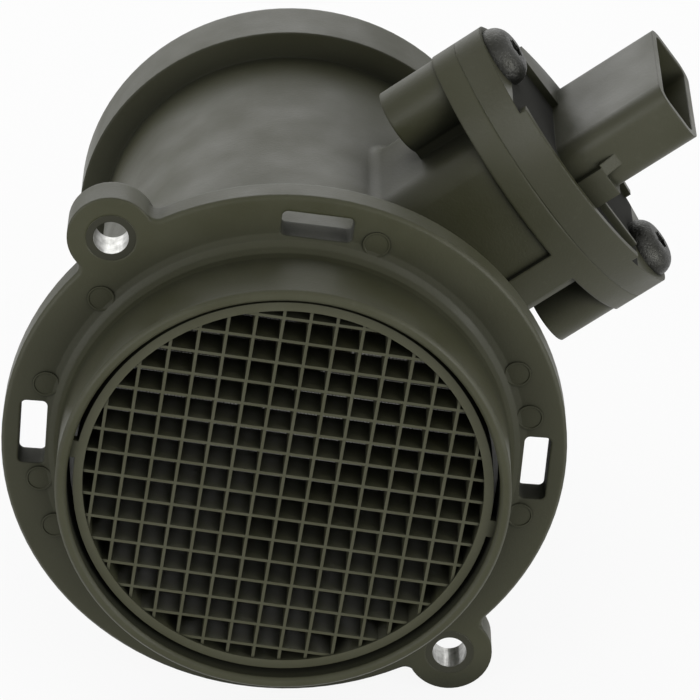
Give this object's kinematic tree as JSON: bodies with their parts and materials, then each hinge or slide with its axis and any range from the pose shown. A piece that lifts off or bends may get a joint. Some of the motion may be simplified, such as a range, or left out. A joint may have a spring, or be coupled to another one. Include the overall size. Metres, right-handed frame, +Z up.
{
  "type": "mass airflow sensor",
  "caption": "Cylindrical mass airflow sensor: flanged intake tube with an inlet grille, mounting ears, and a screwed-on probe module with a connector.",
  "frame": {"origin": "on the tube's axis, in the flange's front face", "axes": "+Y along the tube from inlet to outlet, +Z up, +X to the right as seen from the inlet"},
  "size_m": [0.1491, 0.1405, 0.1337],
  "materials": {
    "black_moulding": "moulded, satin",
    "grille_moulding": "moulded, satin",
    "module_moulding": "moulded, satin",
    "cover_moulding": "moulded, matt",
    "zinc_steel": "zinc plated",
    "screw_steel": "dark plated",
    "stainless_wire": "drawn",
    "rim_steel": "stamped",
    "insert_brass": "knurled brass",
    "terminal_tin": "tin plated",
    "seal_rubber": "matt",
    "carrier_aluminium": "rolled",
    "board_ceramic": "fired",
    "chip_epoxy": "moulded",
    "resistor_print": "printed",
    "element_glass": "polished"
  },
  "bodies": {
    "root": {"housing": "black_moulding", "ear_sleeves": "zinc_steel", "inlet_grille": "grille_moulding", "wire_mesh": "stainless_wire", "mesh_rim": "rim_steel", "module_body": "module_moulding", "connector_terminals": "terminal_tin", "module_screws": "screw_steel", "boss_inserts": "insert_brass", "probe_seal": "seal_rubber", "carrier_plate": "carrier_aluminium", "hybrid_board": "board_ceramic", "signal_chip": "chip_epoxy", "heater_transistor": "chip_epoxy", "chip_capacitors": "board_ceramic", "trim_resistors": "resistor_print", "hot_film_element": "element_glass", "circuit_cover": "cover_moulding", "duct_cover": "cover_moulding", "air_thermistor": "chip_epoxy"}
  },
  "joints": []
}
